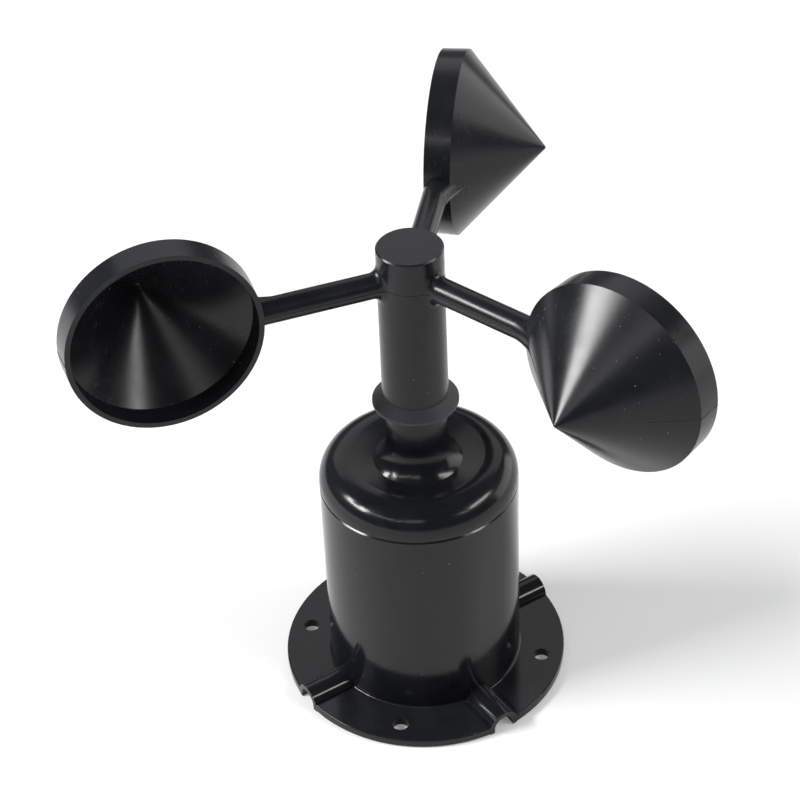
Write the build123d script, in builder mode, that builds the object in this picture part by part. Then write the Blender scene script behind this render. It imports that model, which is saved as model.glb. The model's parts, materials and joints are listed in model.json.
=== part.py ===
from build123d import *
import os
from math import atan2, cos, degrees, radians, sin, sqrt, tan

# A three-cup anemometer, in millimetres. The flange stands on z = 0, the rotor turns about Z,
# and the four bolt holes lie on the X and Y axes. The sensor's pieces are grouped from the
# mounting flange upwards: fixed body, electronics, bearings, then everything that turns.

os.makedirs("parts", exist_ok=True)

# ---- driving dimensions: fixed body ----
flange_radius = 40.0
flange_thickness = 2.5
rim_round = 0.4
bolt_circle_radius = 34.0
bolt_hole_radius = 2.25
barrel_radius = 27.2
wall = 2.6
bore_radius = barrel_radius - wall
seam_height = 64.0
foot_radius = 0.7
tunnel_half_width = 3.1
tunnel_wall = 1.4
tunnel_spring_height = 1.4
ledge_bore = 18.0
ledge_bottom = 14.5
ledge_thickness = 2.5
cover_screw_circle = 22.2
cover_boss_radius = 2.7
cover_boss_height = 10.0

# ---- driving dimensions: cap and neck ----
cap_top = 72.9
shoulder_radius = 7.5
dish_slope = 11.0
dish_fillet = 1.2
neck_radius = 8.5
flare_radius = 10.0
flare_top = 79.3
neck_top = 92.1
labyrinth_top = 97.5
labyrinth_radius = 7.4
spigot_inner = 22.9
spigot_outer = bore_radius - 0.1
spigot_bottom = 59.0
bearing_tube_radius = 8.6
bearing_tube_bottom = 57.5
post_circle = 18.0
post_radius = 2.75
board_top = 44.6

# ---- driving dimensions: bearings, 5 x 13 x 4 mm ----
bearing_bore = 2.5
bearing_outer = 6.5
bearing_width = 4.0
upper_bearing_bottom = 88.0
lower_bearing_bottom = 60.0
ball_radius = 1.0
ball_circle = 4.5
ball_count = 7
race_clearance = 0.05
bearing_land = 5.9

# ---- driving dimensions: rotor ----
arm_height = 130.75
arm_radius = 3.4
cup_distance = 65.5
rotor_rest_angle = -27.8
cup_count = 3
hub_radius = 8.76
hub_top = 140.1
sleeve_radius = 8.86
sleeve_bottom = 94.1
skirt_radius = 11.58
skirt_bottom = 91.1
web_section = 3.2
web_radius = 18.0
root_fillet = 2.5

# ---- driving dimensions: one cup, measured along its own axis from the arm's axis ----
cup_rim = -3.45
cup_rim_radius = 25.45
cup_band = 7.2
cup_radius = 25.7
cone_height = 22.8
cup_wall = 1.4
tip_radius = 0.6

# ---- driving dimensions: spindle and speed disc ----
spindle_bottom = 49.5
spindle_top = 134.0
spindle_shoulder = 3.3
disc_height = 54.0
disc_radius = 12.0
disc_thickness = 0.3
disc_slots = 18
board_radius = 21.5
board_thickness = 1.6


def pan_head_screw(shank_radius, length, head_radius, head_height):
    """A cross-recess screw standing head down, with the underside of its head at z = 0."""
    with BuildPart() as screw:
        Cylinder(shank_radius, length, align=(Align.CENTER, Align.CENTER, Align.MIN))
        Cylinder(head_radius, head_height, align=(Align.CENTER, Align.CENTER, Align.MAX))
        fillet(screw.edges().group_by(Axis.Z)[0], head_height * 0.35)
        chamfer(screw.edges().group_by(Axis.Z)[-1], shank_radius * 0.3)
        with BuildSketch(Plane.XY.offset(-head_height)):
            Rectangle(head_radius * 1.1, head_radius * 0.26)
            Rectangle(head_radius * 0.26, head_radius * 1.1)
        extrude(amount=head_height * 0.55, mode=Mode.SUBTRACT)
    return screw.part


def arch(half_width, spring_height):
    """A flat-footed arch outline: two short legs and a half circle above them."""
    Line((-half_width, 0), (-half_width, spring_height))
    ThreePointArc(
        (-half_width, spring_height), (0, spring_height + half_width), (half_width, spring_height)
    )
    Line((half_width, spring_height), (half_width, 0))
    Line((half_width, 0), (-half_width, 0))


def radial_plane(angle, distance):
    """A vertical plane that faces outwards at the given angle and distance from the Z axis."""
    outward = (cos(radians(angle)), sin(radians(angle)), 0)
    sideways = (-sin(radians(angle)), cos(radians(angle)), 0)
    origin = (distance * outward[0], distance * outward[1], 0)
    return Plane(origin=origin, x_dir=sideways, z_dir=outward)


# ======================================================================================
# Fixed body
# ======================================================================================

tunnel_angles = (45, 135, 225, 315)
seam_chamfer = 0.4

with BuildPart() as lower_housing:
    # four arched cable tunnels across the flange, cut flush with its rim
    for angle in tunnel_angles:
        with BuildSketch(radial_plane(angle, barrel_radius - 1.5)):
            with BuildLine():
                arch(tunnel_half_width + tunnel_wall, tunnel_spring_height)
            make_face()
        extrude(amount=flange_radius)
    Cylinder(
        flange_radius,
        seam_height,
        align=(Align.CENTER, Align.CENTER, Align.MIN),
        mode=Mode.INTERSECT,
    )
    # flange, barrel and the inner ledge that the bottom cover seats on
    with BuildSketch(Plane.XZ):
        with BuildLine():
            Polyline(
                (bore_radius, 0),
                (flange_radius - 0.3, 0),
                (flange_radius, 0.3),
                (flange_radius, flange_thickness - rim_round),
            )
            ThreePointArc(
                (flange_radius, flange_thickness - rim_round),
                (flange_radius - rim_round * 0.293, flange_thickness - rim_round * 0.293),
                (flange_radius - rim_round, flange_thickness),
            )
            Line(
                (flange_radius - rim_round, flange_thickness),
                (barrel_radius + foot_radius, flange_thickness),
            )
            ThreePointArc(
                (barrel_radius + foot_radius, flange_thickness),
                (barrel_radius + foot_radius * 0.293, flange_thickness + foot_radius * 0.293),
                (barrel_radius, flange_thickness + foot_radius),
            )
            Polyline(
                (barrel_radius, flange_thickness + foot_radius),
                (barrel_radius, seam_height - seam_chamfer),
                (barrel_radius - seam_chamfer, seam_height),
                (bore_radius, seam_height),
                (bore_radius, ledge_bottom + ledge_thickness),
                (ledge_bore, ledge_bottom + ledge_thickness),
                (ledge_bore, ledge_bottom),
                (bore_radius, ledge_bottom),
                (bore_radius, 0),
            )
        make_face()
    revolve(axis=Axis.Z)
    # bosses for the bottom cover's screws
    with BuildSketch(Plane.XY.offset(ledge_bottom)):
        with PolarLocations(cover_screw_circle, 4):
            Circle(cover_boss_radius)
    extrude(amount=cover_boss_height)
    with BuildSketch(Plane.XY.offset(ledge_bottom)):
        with PolarLocations(cover_screw_circle, 4):
            Circle(1.05)
    extrude(amount=cover_boss_height - 1.5, mode=Mode.SUBTRACT)
    # the tunnels' insides, from the rim through to the recess under the body
    for angle in tunnel_angles:
        with BuildSketch(radial_plane(angle, ledge_bore)):
            with BuildLine():
                arch(tunnel_half_width, tunnel_spring_height)
            make_face()
        extrude(amount=flange_radius, mode=Mode.SUBTRACT)
    # mounting holes
    with BuildSketch():
        with PolarLocations(bolt_circle_radius, 4):
            Circle(bolt_hole_radius)
    extrude(amount=flange_thickness, mode=Mode.SUBTRACT)
lower_housing.part.label = "lower_housing"
export_step(lower_housing.part, "parts/lower_housing.step")

arc_mid = 0.7071
inner_shoulder = shoulder_radius - wall
shoulder_centre = (barrel_radius - shoulder_radius, cap_top - shoulder_radius)
ceiling = cap_top - wall

# The top of the cap dips inwards as a shallow dish that ends on the flare of the neck.
dish_direction = (-cos(radians(dish_slope)), -sin(radians(dish_slope)))
dish_start = (
    shoulder_centre[0] - shoulder_radius * sin(radians(dish_slope)),
    shoulder_centre[1] + shoulder_radius * cos(radians(dish_slope)),
)
flare_centre = (neck_radius + flare_radius, flare_top)
start_offset = (dish_start[0] - flare_centre[0], dish_start[1] - flare_centre[1])
start_along = start_offset[0] * dish_direction[0] + start_offset[1] * dish_direction[1]
dish_length = -start_along + sqrt(
    start_along**2 - start_offset[0] ** 2 - start_offset[1] ** 2 + flare_radius**2
)
dish_end = (
    dish_start[0] + dish_length * dish_direction[0],
    dish_start[1] + dish_length * dish_direction[1],
)
flare_sweep = atan2(flare_centre[1] - dish_end[1], flare_centre[0] - dish_end[0])

with BuildPart() as top_cap:
    with BuildSketch(Plane.XZ):
        with BuildLine():
            # outside, from the spigot in the barrel up over the shoulder and along the neck
            Polyline(
                (spigot_inner, spigot_bottom),
                (spigot_outer, spigot_bottom),
                (spigot_outer, seam_height),
                (barrel_radius - 0.35, seam_height),
                (barrel_radius, seam_height + 0.35),
                (barrel_radius, shoulder_centre[1]),
            )
            ThreePointArc(
                (barrel_radius, shoulder_centre[1]),
                (
                    shoulder_centre[0] + shoulder_radius * arc_mid,
                    shoulder_centre[1] + shoulder_radius * arc_mid,
                ),
                dish_start,
            )
            Line(dish_start, dish_end)
            ThreePointArc(
                dish_end,
                (
                    flare_centre[0] - flare_radius * cos(flare_sweep / 2),
                    flare_centre[1] - flare_radius * sin(flare_sweep / 2),
                ),
                (neck_radius, flare_top),
            )
            # labyrinth ring, bearing seats and the tube below the ceiling
            Polyline(
                (neck_radius, flare_top),
                (neck_radius, neck_top - 0.3),
                (neck_radius - 0.3, neck_top),
                (labyrinth_radius, neck_top),
                (labyrinth_radius, labyrinth_top),
                (bearing_outer + 0.05, labyrinth_top),
                (bearing_outer + 0.05, neck_top),
                (bearing_outer, neck_top),
                (bearing_outer, upper_bearing_bottom),
                (bearing_land, upper_bearing_bottom),
                (bearing_land, lower_bearing_bottom + bearing_width),
                (bearing_outer, lower_bearing_bottom + bearing_width),
                (bearing_outer, lower_bearing_bottom),
                (bearing_outer + 0.35, lower_bearing_bottom),
                (bearing_outer + 0.35, lower_bearing_bottom - 1.05),
                (bearing_outer, lower_bearing_bottom - 1.05),
                (bearing_outer, bearing_tube_bottom),
                (bearing_tube_radius, bearing_tube_bottom),
                (bearing_tube_radius, ceiling - 1.5),
                (bearing_tube_radius + 1.5, ceiling),
                (shoulder_centre[0], ceiling),
            )
            ThreePointArc(
                (shoulder_centre[0], ceiling),
                (
                    shoulder_centre[0] + inner_shoulder * arc_mid,
                    shoulder_centre[1] + inner_shoulder * arc_mid,
                ),
                (
                    shoulder_centre[0] + inner_shoulder * cos(radians(20)),
                    shoulder_centre[1] + inner_shoulder * sin(radians(20)),
                ),
            )
            Polyline(
                (
                    shoulder_centre[0] + inner_shoulder * cos(radians(20)),
                    shoulder_centre[1] + inner_shoulder * sin(radians(20)),
                ),
                (spigot_inner, seam_height + 1.6),
                (spigot_inner, spigot_bottom),
            )
        cap_section = make_face()
        dish_corner = cap_section.vertices().sort_by_distance((dish_end[0], 0, dish_end[1]))[0]
        fillet(dish_corner, radius=dish_fillet)
    revolve(axis=Axis.Z)
    # three posts that carry the circuit board
    with BuildSketch(Plane.XY.offset(board_top)):
        with PolarLocations(post_circle, 3, start_angle=60):
            Circle(post_radius)
    extrude(amount=ceiling + 0.5 - board_top)
    with BuildSketch(Plane.XY.offset(board_top)):
        with PolarLocations(post_circle, 3, start_angle=60):
            Circle(1.05)
    extrude(amount=9, mode=Mode.SUBTRACT)
top_cap.part.label = "top_cap"
export_step(top_cap.part, "parts/top_cap.step")

# ---- bottom cover, its seal and the cable entry ----
cover_radius = bore_radius - 0.3
cover_thickness = 2.5
cover_bottom = ledge_bottom - cover_thickness
seal_radius = 19.6
seal_section = 0.75
entry_boss_radius = 9.5
entry_boss_bottom = cover_bottom - 2.0
bush_radius = 6.0
bush_top = entry_boss_bottom + 3.0
cable_radius = 2.5
clamp_thickness = 1.6
clamp_screw_circle = 7.6

with BuildPart() as bottom_cover:
    with BuildSketch(Plane.XY.offset(cover_bottom)):
        Circle(cover_radius)
    extrude(amount=cover_thickness)
    chamfer(bottom_cover.edges().group_by(Axis.Z)[0], 0.5)
    with BuildSketch(Plane.XY.offset(entry_boss_bottom)):
        Circle(entry_boss_radius)
    extrude(amount=cover_bottom - entry_boss_bottom)
    # seal groove in the top face
    with BuildSketch(Plane.XY.offset(ledge_bottom)):
        Circle(seal_radius + seal_section + 0.1)
        Circle(seal_radius - seal_section - 0.1, mode=Mode.SUBTRACT)
    extrude(amount=-2 * seal_section - 0.05, mode=Mode.SUBTRACT)
    # pocket for the cable bush and the way through above it
    with BuildSketch(Plane.XY.offset(entry_boss_bottom)):
        Circle(bush_radius + 0.05)
    extrude(amount=bush_top - entry_boss_bottom, mode=Mode.SUBTRACT)
    with BuildSketch(Plane.XY.offset(cover_bottom)):
        Circle(cable_radius + 1.0)
    extrude(amount=cover_thickness, mode=Mode.SUBTRACT)
    # screw holes
    with BuildSketch(Plane.XY.offset(cover_bottom)):
        with PolarLocations(cover_screw_circle, 4):
            Circle(1.4)
    extrude(amount=cover_thickness, mode=Mode.SUBTRACT)
    with BuildSketch(Plane.XY.offset(entry_boss_bottom)):
        with PolarLocations(clamp_screw_circle, 2, start_angle=90):
            Circle(0.85)
    extrude(amount=3.6, mode=Mode.SUBTRACT)
bottom_cover.part.label = "bottom_cover"
export_step(bottom_cover.part, "parts/bottom_cover.step")

with BuildPart() as bottom_cover_seal:
    with BuildSketch(Plane.XZ):
        with Locations((seal_radius, ledge_bottom - seal_section)):
            Circle(seal_section)
    revolve(axis=Axis.Z)
bottom_cover_seal.part.label = "bottom_cover_seal"
export_step(bottom_cover_seal.part, "parts/bottom_cover_seal.step")

with BuildPart() as bottom_cover_screws:
    with Locations((0, 0, cover_bottom)):
        with PolarLocations(cover_screw_circle, 4):
            add(pan_head_screw(1.0, cover_thickness + 8, 2.1, 1.6))
bottom_cover_screws.part.label = "bottom_cover_screws"
export_step(bottom_cover_screws.part, "parts/bottom_cover_screws.step")

with BuildPart() as cable_bush:
    with BuildSketch(Plane.XY.offset(entry_boss_bottom)):
        Circle(bush_radius)
        Circle(cable_radius, mode=Mode.SUBTRACT)
    extrude(amount=bush_top - entry_boss_bottom)
cable_bush.part.label = "cable_bush"
export_step(cable_bush.part, "parts/cable_bush.step")

with BuildPart() as cable_clamp:
    with BuildSketch(Plane.XY.offset(entry_boss_bottom - clamp_thickness)):
        Circle(entry_boss_radius)
        Circle(cable_radius + 0.6, mode=Mode.SUBTRACT)
        with PolarLocations(clamp_screw_circle, 2, start_angle=90):
            Circle(1.1, mode=Mode.SUBTRACT)
    extrude(amount=clamp_thickness)
    chamfer(cable_clamp.edges().group_by(Axis.Z)[0].sort_by(SortBy.LENGTH)[-1], 0.4)
cable_clamp.part.label = "cable_clamp"
export_step(cable_clamp.part, "parts/cable_clamp.step")

with BuildPart() as cable_clamp_screws:
    with Locations((0, 0, entry_boss_bottom - clamp_thickness)):
        with PolarLocations(clamp_screw_circle, 2, start_angle=90):
            add(pan_head_screw(0.8, clamp_thickness + 3.4, 1.6, 1.3))
cable_clamp_screws.part.label = "cable_clamp_screws"
export_step(cable_clamp_screws.part, "parts/cable_clamp_screws.step")

# ======================================================================================
# Electronics, hung from the cap's posts
# ======================================================================================

board_bottom = board_top - board_thickness
sensor_inner = 9.2
sensor_outer = 16.2
sensor_half_width = 3.2
sensor_top = disc_height + 5.2
sensor_gap = 3.2
sensor_throat = disc_radius + 1.2

with BuildPart() as circuit_board:
    with BuildSketch(Plane.XY.offset(board_bottom)):
        Circle(board_radius)
        with PolarLocations(post_circle, 3, start_angle=60):
            Circle(1.3, mode=Mode.SUBTRACT)
    extrude(amount=board_thickness)
circuit_board.part.label = "circuit_board"
export_step(circuit_board.part, "parts/circuit_board.step")

with BuildPart() as circuit_board_screws:
    with Locations((0, 0, board_bottom)):
        with PolarLocations(post_circle, 3, start_angle=60):
            add(pan_head_screw(1.0, board_thickness + 7, 2.1, 1.6))
circuit_board_screws.part.label = "circuit_board_screws"
export_step(circuit_board_screws.part, "parts/circuit_board_screws.step")

with BuildPart() as slotted_light_sensor:
    with BuildSketch(Plane.XY.offset(board_top)):
        with Locations(((sensor_inner + sensor_outer) / 2, 0)):
            Rectangle(sensor_outer - sensor_inner, 2 * sensor_half_width)
    extrude(amount=sensor_top - board_top)
    # the slot that the speed disc runs in
    with BuildSketch(Plane.XY.offset(disc_height + (disc_thickness - sensor_gap) / 2)):
        with Locations(((sensor_inner + sensor_throat) / 2 - 1, 0)):
            Rectangle(sensor_throat - sensor_inner + 2, 2 * sensor_half_width)
    extrude(amount=sensor_gap, mode=Mode.SUBTRACT)
slotted_light_sensor.part.label = "slotted_light_sensor"
export_step(slotted_light_sensor.part, "parts/slotted_light_sensor.step")


def chip(width, length, height, leads):
    """A chip package with its leads down both long sides, standing on z = 0."""
    with BuildPart() as package:
        with Locations((0, 0, 0.15)):
            Box(width, length, height, align=(Align.CENTER, Align.CENTER, Align.MIN))
        pitch = length / leads
        with Locations((0, 0, 0)):
            with GridLocations(0, pitch, 1, leads):
                Box(
                    width + 1.6,
                    pitch * 0.4,
                    0.35,
                    align=(Align.CENTER, Align.CENTER, Align.MIN),
                )
    return package.part


with BuildPart() as microcontroller:
    with Locations((-9.5, 0, board_top)):
        add(chip(5.6, 6.4, 1.2, 8))
microcontroller.part.label = "microcontroller"
export_step(microcontroller.part, "parts/microcontroller.step")

with BuildPart() as bus_transceiver:
    with Locations((0.5, -14.0, board_top)):
        add(chip(3.9, 4.9, 1.4, 4))
bus_transceiver.part.label = "bus_transceiver"
export_step(bus_transceiver.part, "parts/bus_transceiver.step")

with BuildPart() as voltage_regulator:
    with Locations((0.5, 13.5, board_top)):
        add(chip(6.4, 3.6, 1.7, 3))
voltage_regulator.part.label = "voltage_regulator"
export_step(voltage_regulator.part, "parts/voltage_regulator.step")

capacitor_height = 7.5
capacitor_places = ((-8.0, 13.9), (-8.0, -13.9))

with BuildPart() as capacitors:
    with BuildSketch(Plane.XY.offset(board_top)):
        with Locations(*capacitor_places):
            Circle(2.5)
    extrude(amount=capacitor_height)
    chamfer(capacitors.edges().group_by(Axis.Z)[-1], 0.4)
capacitors.part.label = "capacitors"
export_step(capacitors.part, "parts/capacitors.step")

terminal_ways = 4
terminal_pitch = 3.5
terminal_length = terminal_ways * terminal_pitch
terminal_depth = 7.0
terminal_height = 8.5

with BuildPart() as terminal_block:
    with BuildSketch(Plane.XY.offset(board_bottom)):
        Rectangle(terminal_length, terminal_depth)
    extrude(amount=-terminal_height)
    chamfer(terminal_block.edges().group_by(Axis.Z)[0].filter_by(Axis.X), 0.8)
    # wire entries in the side, screw wells from below
    with BuildSketch(Plane.XZ.offset(terminal_depth / 2)):
        with Locations((0, board_bottom - 3.2)):
            with GridLocations(terminal_pitch, 0, terminal_ways, 1):
                Rectangle(2.4, 2.6)
    extrude(amount=-2.6, mode=Mode.SUBTRACT)
    with BuildSketch(Plane.XY.offset(board_bottom - terminal_height)):
        with Locations((0, 0.6)):
            with GridLocations(terminal_pitch, 0, terminal_ways, 1):
                Circle(1.3)
    extrude(amount=3.2, mode=Mode.SUBTRACT)
terminal_block.part.label = "terminal_block"
export_step(terminal_block.part, "parts/terminal_block.step")

with BuildPart() as terminal_screws:
    with Locations((0, 0.6, board_bottom - terminal_height + 3.2)):
        with GridLocations(terminal_pitch, 0, terminal_ways, 1):
            Cylinder(1.2, 1.4, align=(Align.CENTER, Align.CENTER, Align.MAX))
    with BuildSketch(Plane.XY.offset(board_bottom - terminal_height + 1.8)):
        with Locations((0, 0.6)):
            with GridLocations(terminal_pitch, 0, terminal_ways, 1):
                Rectangle(2.6, 0.4)
    extrude(amount=0.6, mode=Mode.SUBTRACT)
terminal_screws.part.label = "terminal_screws"
export_step(terminal_screws.part, "parts/terminal_screws.step")

# ======================================================================================
# Bearings: the outer rings and shields stay still, the inner rings turn with the spindle,
# and each set of balls with its cage goes round at its own, slower speed
# ======================================================================================

half_width = bearing_width / 2
ring_gap = 0.8
groove_radius = ball_radius + race_clearance
shield_thickness = 0.25
shield_recess = 0.35
cage_inner = ball_circle - 0.45
cage_outer = ball_circle + 0.4
cage_half_height = 1.3

for place, bottom in (("upper", upper_bearing_bottom), ("lower", lower_bearing_bottom)):
    middle = bottom + half_width

    with BuildPart() as outer_ring:
        with BuildSketch(Plane.XZ.offset(0)):
            with Locations((0, middle)):
                with Locations(((ball_circle + ring_gap + bearing_outer) / 2, 0)):
                    Rectangle(bearing_outer - ball_circle - ring_gap, bearing_width)
                for side in (-1, 1):
                    with Locations((ball_circle + ring_gap, side * half_width)):
                        Rectangle(0.7, 2 * shield_recess, mode=Mode.SUBTRACT)
                with Locations((ball_circle, 0)):
                    Circle(groove_radius, mode=Mode.SUBTRACT)
        revolve(axis=Axis.Z)
    outer_ring.part.label = f"{place}_bearing_outer_ring"
    export_step(outer_ring.part, f"parts/{place}_bearing_outer_ring.step")

    with BuildPart() as inner_ring:
        with BuildSketch(Plane.XZ):
            with Locations((0, middle)):
                with Locations(((bearing_bore + ball_circle - ring_gap) / 2, 0)):
                    Rectangle(ball_circle - ring_gap - bearing_bore, bearing_width)
                with Locations((ball_circle, 0)):
                    Circle(groove_radius, mode=Mode.SUBTRACT)
        revolve(axis=Axis.Z)
    inner_ring.part.label = f"{place}_bearing_inner_ring"
    export_step(inner_ring.part, f"parts/{place}_bearing_inner_ring.step")

    with BuildPart() as shields:
        for height in (bottom + 0.05, bottom + bearing_width - 0.05 - shield_thickness):
            with BuildSketch(Plane.XY.offset(height)):
                Circle(ball_circle + ring_gap + 0.33)
                Circle(ball_circle - ring_gap + 0.15, mode=Mode.SUBTRACT)
            extrude(amount=shield_thickness)
    shields.part.label = f"{place}_bearing_shields"
    export_step(shields.part, f"parts/{place}_bearing_shields.step")

    with BuildPart() as balls:
        with Locations((0, 0, middle)):
            with PolarLocations(ball_circle, ball_count):
                Sphere(ball_radius)
    balls.part.label = f"{place}_bearing_balls"
    export_step(balls.part, f"parts/{place}_bearing_balls.step")

    with BuildPart() as cage:
        with BuildSketch(Plane.XY.offset(middle - cage_half_height)):
            Circle(cage_outer)
            Circle(cage_inner, mode=Mode.SUBTRACT)
        extrude(amount=2 * cage_half_height)
        with Locations((0, 0, middle)):
            with PolarLocations(ball_circle, ball_count):
                Cylinder(ball_radius + 0.04, 3, rotation=(0, 90, 0), mode=Mode.SUBTRACT)
    cage.part.label = f"{place}_bearing_cage"
    export_step(cage.part, f"parts/{place}_bearing_cage.step")

retaining_ring_top = lower_bearing_bottom - 0.03

with BuildPart() as bearing_retaining_ring:
    with BuildSketch(Plane.XY.offset(retaining_ring_top - 1.0)):
        Circle(bearing_outer + 0.3)
        Circle(5.5, mode=Mode.SUBTRACT)
        with Locations((-6, 0)):
            Rectangle(4, 3.2, mode=Mode.SUBTRACT)
    extrude(amount=1.0)
bearing_retaining_ring.part.label = "bearing_retaining_ring"
export_step(bearing_retaining_ring.part, "parts/bearing_retaining_ring.step")

# ======================================================================================
# Rotor
# ======================================================================================

junction = cup_rim + cup_band
apex = junction + cone_height
cone_angle = degrees(atan2(cup_radius, cone_height))


def cup_solid(rim_radius, radius, start, corner, point, round_radius):
    """A closed cup-shaped solid on the Z axis: a short band, then a cone with a rounded tip."""
    half_angle = atan2(radius, point - corner)
    round_centre = point - round_radius / sin(half_angle)
    round_edge = (round_radius * cos(half_angle), round_centre + round_radius * sin(half_angle))
    round_mid_angle = (radians(90) + half_angle) / 2
    round_mid = (
        round_radius * cos(round_mid_angle),
        round_centre + round_radius * sin(round_mid_angle),
    )
    with BuildPart() as solid:
        with BuildSketch(Plane.XZ):
            with BuildLine():
                Polyline((0, start), (rim_radius, start), (radius, corner), round_edge)
                ThreePointArc(round_edge, round_mid, (0, round_centre + round_radius))
                Line((0, round_centre + round_radius), (0, start))
            make_face()
        revolve(axis=Axis.Z)
    return solid.part


cup_outside = cup_solid(cup_rim_radius, cup_radius, cup_rim, junction, apex, tip_radius)
cup_inside = cup_solid(
    cup_rim_radius - cup_wall,
    cup_radius - cup_wall,
    cup_rim,
    junction - 0.65,
    apex - cup_wall / sin(radians(cone_angle)),
    1.2,
)

rotor_angles = [rotor_rest_angle + 360 / cup_count * number for number in range(cup_count)]


def cup_location(angle):
    """Where a cup goes: its axis is level and square to its arm, tip leading clockwise."""
    outward = (cos(radians(angle)), sin(radians(angle)), 0)
    origin = (cup_distance * outward[0], cup_distance * outward[1], arm_height)
    tip_direction = (sin(radians(angle)), -cos(radians(angle)), 0)
    return Plane(origin=origin, x_dir=outward, z_dir=tip_direction).location


for number, angle in enumerate(rotor_angles, start=1):
    with BuildPart() as cup:
        with Locations(cup_location(angle)):
            add(cup_outside)
            add(cup_inside, mode=Mode.SUBTRACT)
    cup.part.label = f"cup_{number}"
    export_step(cup.part, f"parts/cup_{number}.step")

insert_radius = 4.2
insert_bottom = upper_bearing_bottom + bearing_width + 0.02
insert_top = 135.5
hollow_inner = 5.4
hollow_outer = labyrinth_radius + 0.35
hollow_top = 122.0
rib_thickness = 1.2
arm_start = 5.0
hub_straight = 17.0
stub_radius = 12.0
spigot_radius = 2.0
spigot_length = 3.6

# beside each arm's end a rounded web bends towards the cone and runs out along its side
web_turn = 90 - cone_angle
web_corner = cup_distance - cup_radius * (apex - web_section) / cone_height
web_start = web_corner - web_radius * tan(radians(web_turn / 2))


def arm_plane(angle, distance):
    """A plane square to an arm, at this distance from the rotor's axis."""
    outward = Vector(cos(radians(angle)), sin(radians(angle)), 0)
    sideways = Vector(-sin(radians(angle)), cos(radians(angle)), 0)
    origin = outward * distance + Vector(0, 0, arm_height)
    return Plane(origin=origin, x_dir=sideways, z_dir=outward)


with BuildPart() as rotor_moulding:
    with BuildSketch(Plane.XZ):
        with BuildLine():
            Polyline(
                (insert_radius, insert_bottom + 0.2),
                (hollow_inner, insert_bottom + 0.2),
                (hollow_inner, hollow_top),
                (hollow_outer, hollow_top),
                (hollow_outer, neck_top + 0.8),
                (sleeve_radius + 0.1, neck_top + 0.8),
                (skirt_radius - 0.8, skirt_bottom),
                (skirt_radius, skirt_bottom),
                (skirt_radius, skirt_bottom + 0.8),
                (sleeve_radius, sleeve_bottom),
                (hub_radius, hub_top - hub_straight),
                (hub_radius, hub_top - 0.35),
                (hub_radius - 0.35, hub_top),
                (0, hub_top),
                (0, insert_top),
                (insert_radius, insert_top),
                close=True,
            )
        make_face()
    revolve(axis=Axis.Z)
    # stiffening ribs in the sleeve, above the labyrinth
    with BuildSketch(Plane.XY.offset(labyrinth_top + 1.5)):
        with PolarLocations((hollow_inner + hollow_outer) / 2, 6):
            Rectangle(hollow_outer - hollow_inner + 0.6, rib_thickness)
    extrude(amount=hollow_top - labyrinth_top - 1.0)
    for angle in rotor_angles:
        with BuildSketch(arm_plane(angle, arm_start)):
            Circle(arm_radius)
        extrude(amount=web_corner + 2.5 - arm_start)
        with BuildSketch(arm_plane(angle, web_start)):
            Circle(web_section)
        bend_centre = arm_plane(angle, web_start) * Pos(-web_section - web_radius, 0, 0)
        revolve(axis=Axis(bend_centre.position, (0, 0, -1)), revolution_arc=web_turn)
    # moulded fillets where the arms leave the hub
    arm_roots = [
        edge
        for edge in rotor_moulding.edges()
        if abs(edge.center().Z - arm_height) < arm_radius
        and abs(Vector(edge.center().X, edge.center().Y, 0).length - hub_radius) < 2
    ]
    fillet(arm_roots, root_fillet)
    # the arms end on the cups' outer walls
    with Locations(*[cup_location(angle) for angle in rotor_angles]):
        add(cup_outside, mode=Mode.SUBTRACT)

# the hub keeps short filleted stubs; each arm is welded to one, with a spigot in its socket
spigot_planes = [arm_plane(angle, stub_radius - spigot_length) for angle in rotor_angles]
with BuildPart() as rotor_hub:
    add(rotor_moulding.part)
    with Locations((0, 0, arm_height)):
        Cylinder(stub_radius, 100, mode=Mode.INTERSECT)
    for spigot_plane in spigot_planes:
        with BuildSketch(spigot_plane):
            Circle(spigot_radius)
        extrude(amount=spigot_length + 2, mode=Mode.SUBTRACT)
rotor_hub.part.label = "rotor_hub"
export_step(rotor_hub.part, "parts/rotor_hub.step")

arm_reach = cup_distance
for number, angle in enumerate(rotor_angles, start=1):
    with BuildPart() as rotor_arm:
        add(rotor_moulding.part)
        with BuildSketch(arm_plane(angle, 0)):
            Rectangle(60, 30)
        extrude(amount=arm_reach, mode=Mode.INTERSECT)
        with Locations((0, 0, arm_height)):
            Cylinder(stub_radius, 100, mode=Mode.SUBTRACT)
        with BuildSketch(spigot_planes[number - 1]):
            Circle(spigot_radius)
        extrude(amount=spigot_length + 1)
    rotor_arm.part.label = f"rotor_arm_{number}"
    export_step(rotor_arm.part, f"parts/rotor_arm_{number}.step")

with BuildPart() as hub_insert:
    with BuildSketch(Plane.XY.offset(insert_bottom)):
        Circle(insert_radius - 0.01)
        Circle(bearing_bore, mode=Mode.SUBTRACT)
    extrude(amount=insert_top - insert_bottom)
    # three grooves that key it in the moulding
    for height in (insert_bottom + 8, insert_bottom + 20, insert_bottom + 32):
        with BuildSketch(Plane.XY.offset(height)):
            Circle(insert_radius + 1)
            Circle(insert_radius - 0.5, mode=Mode.SUBTRACT)
        extrude(amount=2, mode=Mode.SUBTRACT)
hub_insert.part.label = "hub_insert"
export_step(hub_insert.part, "parts/hub_insert.step")

circlip_top = lower_bearing_bottom - 0.03
circlip_groove = 2.1

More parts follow.
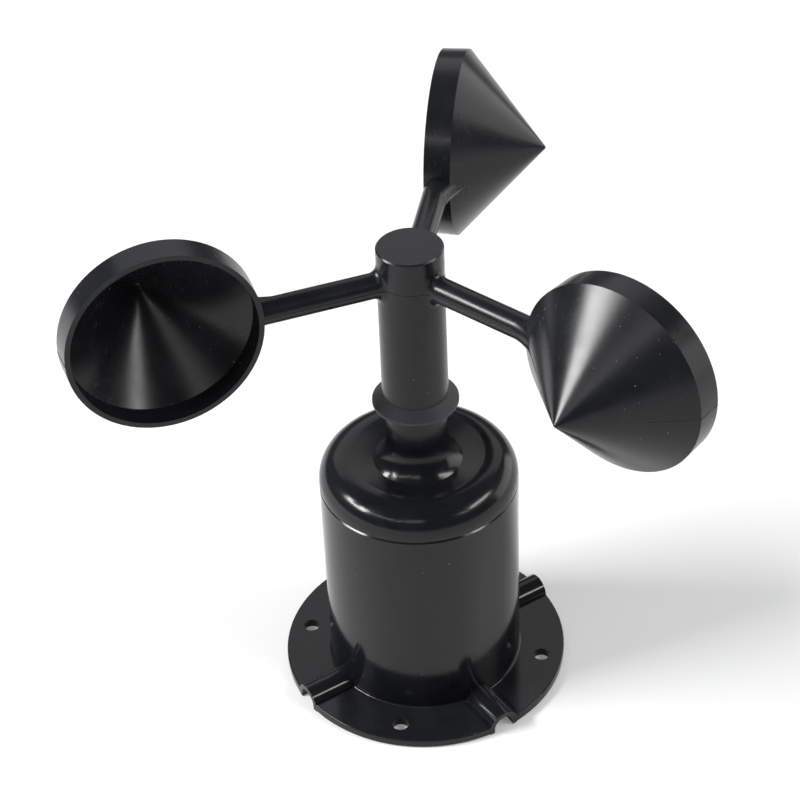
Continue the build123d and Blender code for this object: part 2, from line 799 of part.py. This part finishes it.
with BuildPart() as spindle:
    with BuildSketch(Plane.XZ):
        with BuildLine():
            Polyline(
                (0, spindle_bottom),
                (bearing_bore - 0.5, spindle_bottom),
                (bearing_bore, spindle_bottom + 0.5),
                (bearing_bore, circlip_top - 0.7),
                (circlip_groove, circlip_top - 0.7),
                (circlip_groove, circlip_top),
                (bearing_bore, circlip_top),
                (bearing_bore, lower_bearing_bottom + bearing_width),
                (spindle_shoulder, lower_bearing_bottom + bearing_width),
                (spindle_shoulder, upper_bearing_bottom),
                (bearing_bore, upper_bearing_bottom),
                (bearing_bore, spindle_top - 0.5),
                (bearing_bore - 0.5, spindle_top),
                (0, spindle_top),
                close=True,
            )
        make_face()
    revolve(axis=Axis.Z)
spindle.part.label = "spindle"
export_step(spindle.part, "parts/spindle.step")

with BuildPart() as spindle_circlip:
    with BuildSketch(Plane.XY.offset(circlip_top - 0.65)):
        Circle(4.1)
        Circle(circlip_groove + 0.02, mode=Mode.SUBTRACT)
        with Locations((-3.2, 0)):
            Rectangle(3.2, 2.4, mode=Mode.SUBTRACT)
    extrude(amount=0.6)
spindle_circlip.part.label = "spindle_circlip"
export_step(spindle_circlip.part, "parts/spindle_circlip.step")

disc_hub_radius = 4.2
disc_flange_radius = 6.5
disc_screw_height = 52.0

with BuildPart() as disc_hub:
    with BuildSketch(Plane.XZ):
        with BuildLine():
            Polyline(
                (bearing_bore, spindle_bottom + 0.6),
                (disc_hub_radius, spindle_bottom + 0.6),
                (disc_hub_radius, disc_height - 1),
                (disc_flange_radius, disc_height - 1),
                (disc_flange_radius, disc_height),
                (3.4, disc_height),
                (3.4, disc_height + 1.5),
                (bearing_bore, disc_height + 1.5),
                close=True,
            )
        make_face()
    revolve(axis=Axis.Z)
    with BuildSketch(Plane.YZ.offset(bearing_bore - 0.5)):
        with Locations((0, disc_screw_height)):
            Circle(0.85)
    extrude(amount=4, mode=Mode.SUBTRACT)
disc_hub.part.label = "disc_hub"
export_step(disc_hub.part, "parts/disc_hub.step")

with BuildPart() as disc_set_screw:
    with BuildSketch(Plane.YZ.offset(bearing_bore + 0.02)):
        with Locations((0, disc_screw_height)):
            Circle(0.82)
    extrude(amount=2.0)
    with BuildSketch(Plane.YZ.offset(bearing_bore + 1.3)):
        with Locations((0, disc_screw_height)):
            RegularPolygon(0.45, 6)
    extrude(amount=1.0, mode=Mode.SUBTRACT)
disc_set_screw.part.label = "disc_set_screw"
export_step(disc_set_screw.part, "parts/disc_set_screw.step")

with BuildPart() as speed_disc:
    with BuildSketch(Plane.XY.offset(disc_height)):
        Circle(disc_radius)
        Circle(3.45, mode=Mode.SUBTRACT)
        with PolarLocations(disc_radius - 1.8, disc_slots):
            Rectangle(2.2, 1.6, mode=Mode.SUBTRACT)
    extrude(amount=disc_thickness)
speed_disc.part.label = "speed_disc"
export_step(speed_disc.part, "parts/speed_disc.step")
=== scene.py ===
"""Looks for the cup anemometer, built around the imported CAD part. Units are metres, Z is up."""

import json
import math

import bmesh
import bpy
from mathutils import Matrix, Vector


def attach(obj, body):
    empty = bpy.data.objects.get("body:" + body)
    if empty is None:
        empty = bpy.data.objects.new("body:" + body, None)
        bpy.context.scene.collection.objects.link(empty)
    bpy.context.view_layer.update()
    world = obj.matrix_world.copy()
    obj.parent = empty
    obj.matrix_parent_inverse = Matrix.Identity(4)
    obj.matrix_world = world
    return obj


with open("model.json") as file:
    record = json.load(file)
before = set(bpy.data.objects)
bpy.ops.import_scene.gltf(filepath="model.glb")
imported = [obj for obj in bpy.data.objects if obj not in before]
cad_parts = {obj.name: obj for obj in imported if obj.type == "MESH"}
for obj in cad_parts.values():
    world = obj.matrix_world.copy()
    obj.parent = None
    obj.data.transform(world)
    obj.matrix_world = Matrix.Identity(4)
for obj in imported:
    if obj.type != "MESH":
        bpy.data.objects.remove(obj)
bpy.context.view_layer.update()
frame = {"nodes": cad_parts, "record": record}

MM = 0.001
WORN = (0.05, 0.052, 0.056)
# paler grey for dust and painted sheen on what faces upwards
DUST_AND_SHEEN_FILM = (0.03, 0.031, 0.034)
MATT = (0.045, 0.046, 0.049)
PLASTIC_IOR = 1.36     # low, so that black plastic stays black above a pale floor
FLOOR_LIFT = 0.15      # a little glow, so that the floor stays pale
nodes = frame["nodes"]


# --------------------------------------------------------------------------------------
# Node helpers for materials
# --------------------------------------------------------------------------------------

class Shader:
    """A small wrapper that adds and links shader nodes in one material."""

    def __init__(self, name):
        self.material = bpy.data.materials.new(name)
        self.material.use_nodes = True
        self.tree = self.material.node_tree
        self.tree.nodes.clear()
        self.output = self.tree.nodes.new("ShaderNodeOutputMaterial")
        self.bsdf = self.tree.nodes.new("ShaderNodeBsdfPrincipled")
        self.link(self.bsdf.outputs["BSDF"], self.output.inputs["Surface"])
        self.place = self.tree.nodes.new("ShaderNodeTexCoord").outputs["Object"]

    def link(self, source, target):
        self.tree.links.new(source, target)

    def set(self, **values):
        """Sets plain numbers and colours on the main shader's own sockets."""
        for name, value in values.items():
            self.bsdf.inputs[name.replace("_", " ")].default_value = value

    def noise(self, scale, detail=3.0, roughness=0.55, stretch=(1, 1, 1), offset=(0, 0, 0)):
        node = self.tree.nodes.new("ShaderNodeTexNoise")
        node.inputs["Scale"].default_value = scale
        node.inputs["Detail"].default_value = detail
        node.inputs["Roughness"].default_value = roughness
        self.link(self.mapped(stretch, offset), node.inputs["Vector"])
        return node.outputs["Fac"]

    def cells(self, scale, feature="F1", stretch=(1, 1, 1)):
        node = self.tree.nodes.new("ShaderNodeTexVoronoi")
        node.feature = feature
        node.inputs["Scale"].default_value = scale
        self.link(self.mapped(stretch), node.inputs["Vector"])
        return node

    def mapped(self, stretch=(1, 1, 1), offset=(0, 0, 0)):
        node = self.tree.nodes.new("ShaderNodeMapping")
        node.inputs["Scale"].default_value = stretch
        node.inputs["Location"].default_value = offset
        self.link(self.place, node.inputs["Vector"])
        return node.outputs["Vector"]

    def ramp(self, value, low, high, out_low=0.0, out_high=1.0):
        """value from low..high to out_low..out_high, clamped."""
        node = self.tree.nodes.new("ShaderNodeMapRange")
        node.inputs["From Min"].default_value = low
        node.inputs["From Max"].default_value = high
        node.inputs["To Min"].default_value = out_low
        node.inputs["To Max"].default_value = out_high
        self.link(value, node.inputs["Value"])
        return node.outputs["Result"]

    def math(self, kind, first, second=0.0):
        node = self.tree.nodes.new("ShaderNodeMath")
        node.operation = kind
        for socket, value in zip(node.inputs, (first, second)):
            if isinstance(value, (int, float)):
                socket.default_value = value
            else:
                self.link(value, socket)
        return node.outputs["Value"]

    def mix(self, factor, first, second):
        """Colour first to second by factor."""
        node = self.tree.nodes.new("ShaderNodeMix")
        node.data_type = "RGBA"
        factor_socket, first_socket, second_socket = node.inputs[0], node.inputs[6], node.inputs[7]
        self.link(factor, factor_socket)
        for socket, value in ((first_socket, first), (second_socket, second)):
            if isinstance(value, tuple):
                socket.default_value = (*value, 1.0)
            else:
                self.link(value, socket)
        return node.outputs[2]

    def bump(self, height, distance, strength=1.0, under=None):
        node = self.tree.nodes.new("ShaderNodeBump")
        node.inputs["Distance"].default_value = distance
        node.inputs["Strength"].default_value = strength
        self.link(height, node.inputs["Height"])
        if under is not None:
            self.link(under, node.inputs["Normal"])
        return node.outputs["Normal"]


def moulded_plastic(name, colour, gloss, grain, dust, scratches=0.5, matt_below=0.0):
    """Black injection moulding: slight flow unevenness, fine scratches, handling marks and dust, with a
    paler film on what faces upwards that is dust and painted sheen.

    Below the height matt_below, in metres, the surface has a coarser, paler mould finish.
    """
    s = Shader(name)
    broad = s.noise(38, detail=4)
    cloud = s.noise(160, detail=5, roughness=0.65, offset=(0.3, 0.1, 0.7))
    fine = s.noise(2600, detail=2)
    scuffs = s.noise(900, detail=2, stretch=(1, 0.12, 0.35), offset=(0.2, 0.6, 0.1))
    scuff_mask = s.math("MULTIPLY", s.ramp(scuffs, 0.62, 0.72), s.ramp(broad, 0.5, 0.68))

    # dust: a few tiny round specks, gathered in patches
    specks = s.cells(620)
    size = s.ramp(s.noise(240, detail=0), 0.3, 0.8, 0.03, 0.1)
    speck = s.math("LESS_THAN", specks.outputs["Distance"], size)
    chance = s.tree.nodes.new("ShaderNodeSeparateColor")
    s.link(specks.outputs["Color"], chance.inputs["Color"])
    speck = s.math("MULTIPLY", speck, s.math("LESS_THAN", chance.outputs["Red"], dust))
    speck = s.math("MULTIPLY", speck, s.ramp(s.noise(55, detail=1, offset=(0.9, 0.4, 0.2)), 0.42, 0.6))

    tint = s.mix(s.ramp(cloud, 0.3, 0.7), colour, tuple(c * 1.6 for c in colour))
    # a thin film of dust and painted sheen of the light from above makes what faces upwards paler
    facing = s.tree.nodes.new("ShaderNodeSeparateXYZ")
    s.link(s.tree.nodes.new("ShaderNodeTexCoord").outputs["Normal"], facing.inputs["Vector"])
    dust_and_sheen = s.ramp(facing.outputs["Z"], 0.15, 0.95, 0.08, 0.34)
    dust_and_sheen = s.math("MULTIPLY", dust_and_sheen, s.ramp(cloud, 0.2, 0.8, 0.6, 1.0))
    tint = s.mix(dust_and_sheen, tint, DUST_AND_SHEEN_FILM)
    height = s.tree.nodes.new("ShaderNodeSeparateXYZ")
    s.link(s.place, height.inputs["Vector"])
    matt = s.ramp(height.outputs["Z"], matt_below - 0.0002, matt_below + 0.0002, 1.0, 0.0)
    tint = s.mix(matt, tint, MATT)
    tint = s.mix(s.math("MULTIPLY", scuff_mask, 0.35 * scratches), tint, WORN)
    tint = s.mix(s.math("MULTIPLY", speck, 0.6), tint, (0.4, 0.4, 0.39))
    s.link(tint, s.bsdf.inputs["Base Color"])

    rough = s.ramp(cloud, 0.25, 0.75, gloss * 0.86, gloss * 1.18)
    rough = s.math("ADD", rough, s.math("MULTIPLY", matt, 0.28))
    rough = s.math("ADD", rough, s.math("MULTIPLY", scuff_mask, 0.16 * scratches))
    rough = s.math("ADD", rough, s.math("MULTIPLY", speck, 0.4))
    s.link(rough, s.bsdf.inputs["Roughness"])

    peel = s.bump(s.noise(420, detail=2, roughness=0.4), 0.00002, 0.35 * grain)
    skin = s.bump(fine, 0.000008, 0.6 * grain, under=peel)
    dusty = s.bump(speck, 0.00004, 0.5, under=skin)
    s.link(dusty, s.bsdf.inputs["Normal"])
    s.set(IOR=PLASTIC_IOR)
    return s.material


def rubber(name, colour):
    s = Shader(name)
    cloud = s.noise(180, detail=5, roughness=0.7)
    bloom = s.ramp(s.noise(60, detail=3, offset=(0.1, 0.8, 0.3)), 0.5, 0.75, 0.0, 0.5)
    tint = s.mix(s.ramp(cloud, 0.3, 0.7), colour, tuple(c * 1.6 for c in colour))
    s.link(s.mix(bloom, tint, (0.07, 0.07, 0.072)), s.bsdf.inputs["Base Color"])
    s.link(s.ramp(cloud, 0.2, 0.8, 0.6, 0.82), s.bsdf.inputs["Roughness"])
    s.link(s.bump(s.noise(1500, detail=3), 0.00003, 0.6), s.bsdf.inputs["Normal"])
    return s.material


def metal(name, colour, rough, stretch=(1, 1, 14), grain=0.5, stain=(0.3, 0.27, 0.22)):
    """Machined metal: fine tool marks run across the stretch, with a little staining."""
    s = Shader(name)
    marks = s.noise(700, detail=4, roughness=0.7, stretch=stretch)
    cloud = s.noise(140, detail=4)
    tint = s.mix(s.ramp(cloud, 0.35, 0.75), colour, tuple(c * 0.82 for c in colour))
    dirt = s.ramp(s.noise(320, detail=5, roughness=0.75, offset=(0.4, 0.2, 0.5)), 0.6, 0.8, 0.0, 0.5)
    s.link(s.mix(dirt, tint, stain), s.bsdf.inputs["Base Color"])
    s.link(s.ramp(marks, 0.25, 0.75, rough * 0.75, rough * 1.3), s.bsdf.inputs["Roughness"])
    s.link(s.bump(marks, 0.000012, grain), s.bsdf.inputs["Normal"])
    s.set(Metallic=1.0)
    return s.material


def solder_mask(name):
    """Green board: copper tracks show through the lacquer as lighter, raised lines."""
    s = Shader(name)
    tracks = s.cells(240, feature="DISTANCE_TO_EDGE", stretch=(1, 1.8, 1))
    line = s.ramp(tracks.outputs["Distance"], 0.05, 0.09, 1.0, 0.0)
    cloud = s.noise(300, detail=3)
    lacquer = s.mix(s.ramp(cloud, 0.3, 0.7), (0.012, 0.115, 0.045), (0.02, 0.15, 0.06))
    s.link(s.mix(line, lacquer, (0.05, 0.27, 0.1)), s.bsdf.inputs["Base Color"])
    s.link(s.ramp(cloud, 0.2, 0.8, 0.24, 0.38), s.bsdf.inputs["Roughness"])
    s.link(s.bump(line, 0.00004, 0.6), s.bsdf.inputs["Normal"])
    return s.material


def epoxy(name, colour, rough=0.55):
    s = Shader(name)
    cloud = s.noise(500, detail=4)
    tint = s.mix(s.ramp(cloud, 0.3, 0.7), colour, tuple(c * 1.5 for c in colour))
    s.link(tint, s.bsdf.inputs["Base Color"])
    s.link(s.ramp(cloud, 0.2, 0.8, rough * 0.85, rough * 1.15), s.bsdf.inputs["Roughness"])
    s.link(s.bump(s.noise(5200, detail=2), 0.00001, 0.7), s.bsdf.inputs["Normal"])
    return s.material


INK = (0.0042, 0.0046, 0.0054)
SOOT = (0.0046, 0.005, 0.006)
materials = {
    "black_shell": moulded_plastic("black_shell", INK, 0.13, 0.9, 0.12),
    "black_shell_cap": moulded_plastic("black_shell_cap", INK, 0.17, 1.0, 0.14),
    "rotor_plastic": moulded_plastic("rotor_plastic", SOOT, 0.26, 0.8, 0.12, matt_below=0.0942),
    "cup_plastic": moulded_plastic("cup_plastic", SOOT, 0.24, 0.9, 0.45, scratches=0.9),
    "cover_plastic": moulded_plastic("cover_plastic", (0.009, 0.009, 0.0098), 0.48, 1.6, 0.03),
    "seal_rubber": rubber("seal_rubber", (0.012, 0.012, 0.012)),
    "bush_rubber": rubber("bush_rubber", (0.016, 0.016, 0.016)),
    "stainless_screw": metal("stainless_screw", (0.6, 0.6, 0.59), 0.26, (1, 1, 6)),
    "zinc_screw": metal("zinc_screw", (0.64, 0.65, 0.62), 0.3, (1, 1, 6), stain=(0.5, 0.44, 0.28)),
    "board": solder_mask("board"),
    "sensor_plastic": epoxy("sensor_plastic", (0.012, 0.012, 0.013), 0.45),
    "chip_package": epoxy("chip_package", (0.02, 0.02, 0.021), 0.6),
    "capacitor_can": metal("capacitor_can", (0.68, 0.68, 0.7), 0.3, (1, 1, 0.2)),
    "terminal_plastic": epoxy("terminal_plastic", (0.03, 0.2, 0.08), 0.4),
    "bearing_steel": metal("bearing_steel", (0.72, 0.72, 0.73), 0.1, (1, 1, 20), grain=0.2),
    "shield_steel": metal("shield_steel", (0.62, 0.62, 0.6), 0.3, (1, 1, 1)),
    "spring_steel": metal("spring_steel", (0.16, 0.16, 0.17), 0.36, (1, 1, 1)),
    "brass_insert": metal("brass_insert", (0.72, 0.5, 0.2), 0.28, (1, 1, 24), stain=(0.35, 0.2, 0.08)),
    "spindle_steel": metal("spindle_steel", (0.6, 0.6, 0.6), 0.18, (1, 1, 24), grain=0.35),
    "disc_steel": metal("disc_steel", (0.45, 0.45, 0.45), 0.38, (1, 1, 1)),
}
slot_of = {part["node"]: part["material_slot"] for part in frame["record"]["subparts"]}
for node_name, node_object in nodes.items():
    for index in range(len(node_object.material_slots)):
        node_object.material_slots[index].material = materials[slot_of[node_name]]


# --------------------------------------------------------------------------------------
# Mould parting line: one thin bead round the rotor, in the plane of the arms
# --------------------------------------------------------------------------------------

ARM_HEIGHT = 130.75
ARM_ANGLES = (-27.8, 92.2, 212.2)
ARM_RADIUS = 3.4
HUB_RADIUS = 8.76
ROOT_FILLET = 2.5
CUP_DISTANCE = 65.5
CUP_RIM = (25.45, -3.45)       # radius from the cup's axis, and place along it
CUP_CORNER = (25.7, 3.75)
CUP_APEX = (0.45, 25.9)        # on the rounded tip
CONE_POINT = 26.55             # where the cone would end if its tip were sharp
CONE_HEIGHT = 22.8
ARM_END = 39.95                # where an arm's side meets the cup's band
ARM_SPACING = 120
BEND_START = 9                 # degrees of the web's bend that lie inside the arm
WEB_SECTION = 3.2
WEB_RADIUS = 18.0
BEAD_RADIUS = 0.11


def bead(name, points, slot):
    """A thin round bead through these points, in millimetres, in the plane of the arms."""
    sides = 8
    mesh = bpy.data.meshes.new(name)
    bm = bmesh.new()
    rings = []
    for index, point in enumerate(points):
        before = points[max(index - 1, 0)]
        after = points[min(index + 1, len(points) - 1)]
        along = (after - before).normalized()
        across = Vector((along.y, -along.x, 0))
        ring = []
        for side in range(sides):
            turn = 2 * math.pi * side / sides
            offset = across * math.cos(turn) + Vector((0, 0, 1)) * math.sin(turn)
            ring.append(bm.verts.new((point + offset * BEAD_RADIUS) * MM))
        rings.append(ring)
    for ring, following in zip(rings, rings[1:]):
        for side in range(sides):
            corner = (side + 1) % sides
            bm.faces.new((ring[side], following[side], following[corner], ring[corner]))
    bm.faces.new(rings[0])
    bm.faces.new(reversed(rings[-1]))
    bmesh.ops.recalc_face_normals(bm, faces=bm.faces)
    for face in bm.faces:
        face.smooth = len(face.verts) == 4
    bm.to_mesh(mesh)
    bm.free()
    mesh.materials.append(materials[slot])
    piece = bpy.data.objects.new(name, mesh)
    bpy.context.scene.collection.objects.link(piece)
    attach(piece, "rotor")


def arc(centre, radius, start, end, steps=12):
    """Points on a circular arc in an arm's own coordinates; angles in degrees."""
    turns = [math.radians(start + (end - start) * step / steps) for step in range(steps + 1)]
    return [(centre[0] + radius * math.cos(t), centre[1] + radius * math.sin(t)) for t in turns]


def in_plane(angle, pairs):
    """Pairs (outward along the arm, sideways) to points in the plane of the arms."""
    outward = Vector((math.cos(math.radians(angle)), math.sin(math.radians(angle)), 0))
    sideways = Vector((-outward.y, outward.x, 0))
    lift = Vector((0, 0, ARM_HEIGHT))
    return [outward * along + sideways * across + lift for along, across in pairs]


def make_parting_line():
    cone_angle = math.degrees(math.atan2(CUP_CORNER[0], CONE_HEIGHT))
    fillet_side = ARM_RADIUS + ROOT_FILLET
    fillet_out = math.sqrt((HUB_RADIUS + ROOT_FILLET) ** 2 - fillet_side ** 2)
    fillet_turn = math.degrees(math.atan2(fillet_side, fillet_out))
    web_turn = 90 - cone_angle
    web_corner = CUP_DISTANCE - CUP_CORNER[0] * (CONE_POINT - WEB_SECTION) / CONE_HEIGHT
    web_start = web_corner - WEB_RADIUS * math.tan(math.radians(web_turn / 2))
    for number, angle in enumerate(ARM_ANGLES, start=1):
        # rim side: hub fillet, then straight to the cup's band
        root = arc((fillet_out, fillet_side), ROOT_FILLET, 180 + fillet_turn, 270)
        rim_side = in_plane(angle, root + [(ARM_END, ARM_RADIUS)])
        bead(f"parting_bead_arm_{number}_a", rim_side, "rotor_plastic")
        # tip side: hub fillet, straight, then the web's bend along the cone
        root = arc((fillet_out, -fillet_side), ROOT_FILLET, 180 - fillet_turn, 90)
        bend_centre = (web_start, -WEB_SECTION - WEB_RADIUS)
        bend = arc(bend_centre, WEB_RADIUS, 90 - BEND_START, 90 - web_turn)
        bead(f"parting_bead_arm_{number}_b", in_plane(angle, root + bend), "rotor_plastic")
        # hub: from one arm's fillet to the next
        hub = arc((0, 0), HUB_RADIUS, fillet_turn, ARM_SPACING - fillet_turn)
        bead(f"parting_bead_hub_{number}", in_plane(angle, hub), "rotor_plastic")
        # cup: both sides of its outside, from the rim to the tip
        for side, letter in ((1, "out"), (-1, "in")):
            profile = [CUP_RIM, CUP_CORNER, CUP_APEX]
            pairs = [(CUP_DISTANCE + side * radius, -along) for radius, along in profile]
            bead(f"parting_bead_cup_{number}_{letter}", in_plane(angle, pairs), "cup_plastic")


make_parting_line()


# --------------------------------------------------------------------------------------
# Floor, light and camera
# --------------------------------------------------------------------------------------

HEADING = 13.896       # the camera's heading: 0 looks along +Y, 90 along -X
PITCH = 38.150         # degrees that it looks down
ROLL = -2.653
FLOOR_SIZE = 6.0
FLOOR_DROP = 0.0002    # keeps the floor just under the flange
TARGET = Vector((-0.00404, -0.00100, 0.09104))
DISTANCE = 0.5993
LENS = 101.6


def heading_vector(azimuth, elevation):
    """The direction at this azimuth from the camera's heading, positive to the right, and elevation."""
    turn = math.radians(azimuth - HEADING)
    rise = math.radians(elevation)
    return Vector((math.sin(turn) * math.cos(rise), math.cos(turn) * math.cos(rise), math.sin(rise)))


def make_camera():
    forward = heading_vector(0, -PITCH)
    right = forward.cross(Vector((0, 0, 1))).normalized()
    up = right.cross(forward)
    turn = math.radians(ROLL)
    x_axis = right * math.cos(turn) + up * math.sin(turn)
    y_axis = up * math.cos(turn) - right * math.sin(turn)
    place = Matrix((x_axis, y_axis, -forward)).transposed().to_4x4()
    place.translation = TARGET - forward * DISTANCE
    data = bpy.data.cameras.new("camera")
    data.sensor_width = 36
    data.lens = LENS
    data.clip_start = 0.01
    data.clip_end = 50
    camera = bpy.data.objects.new("camera", data)
    camera.matrix_world = place
    bpy.context.scene.collection.objects.link(camera)
    bpy.context.scene.camera = camera


def panel_light(name, azimuth, elevation, distance, width, height, radiance, colour=(1, 1, 1)):
    """A soft rectangular light that faces the object; radiance is what a mirror would show of it."""
    data = bpy.data.lights.new(name, "AREA")
    data.shape = "RECTANGLE"
    data.size = width
    data.size_y = height
    data.energy = radiance * math.pi * width * height
    data.color = colour
    light = bpy.data.objects.new(name, data)
    centre = Vector((0, 0, 0.1))
    away = heading_vector(azimuth, elevation)
    light.location = centre + away * distance
    light.rotation_euler = away.to_track_quat("Z", "Y").to_euler()
    light.visible_camera = False
    bpy.context.scene.collection.objects.link(light)


def make_floor():
    mesh = bpy.data.meshes.new("floor")
    bm = bmesh.new()
    bmesh.ops.create_grid(bm, x_segments=24, y_segments=24, size=FLOOR_SIZE)
    for vertex in bm.verts:
        vertex.co.z = -FLOOR_DROP
    bm.to_mesh(mesh)
    bm.free()
    floor = bpy.data.objects.new("floor", mesh)
    bpy.context.scene.collection.objects.link(floor)
    s = Shader("floor_paper")
    cloud = s.noise(3, detail=3)
    s.link(s.mix(cloud, (0.88, 0.88, 0.88), (0.9, 0.9, 0.9)), s.bsdf.inputs["Base Color"])
    s.set(Roughness=0.9, Specular_IOR_Level=0.1)
    s.link(s.ramp(cloud, 0.2, 0.8, 0.86, 0.94), s.bsdf.inputs["Roughness"])
    s.set(Emission_Color=(1, 1, 1, 1), Emission_Strength=FLOOR_LIFT)
    mesh.materials.append(s.material)


def make_world():
    world = bpy.data.worlds.new("studio")
    world.use_nodes = True
    background = world.node_tree.nodes["Background"]
    background.inputs["Color"].default_value = (0.1, 0.104, 0.112, 1)
    background.inputs["Strength"].default_value = 1.0
    bpy.context.scene.world = world


make_camera()
make_floor()
make_world()
# name, azimuth, elevation, distance, width, height, radiance
LAMPS = (
    ("key_left", -98, 33, 1.5, 0.7, 0.3, 40.0),
    ("strip_left", -139, 35, 1.5, 0.9, 0.035, 15.0),
    ("front_left", -172, 37, 1.5, 0.45, 0.25, 2.5),
    ("key_right", 108, 37, 1.5, 1.0, 0.2, 15.0),
    ("back_right", 66, 5, 1.6, 1.4, 1.0, 2.1),
    ("low_back", 0, 37, 1.6, 2.1, 0.75, 0.85),
)
for lamp in LAMPS:
    panel_light(*lamp)

bpy.context.scene.view_settings.view_transform = "Standard"
bpy.context.scene.view_settings.look = "None"
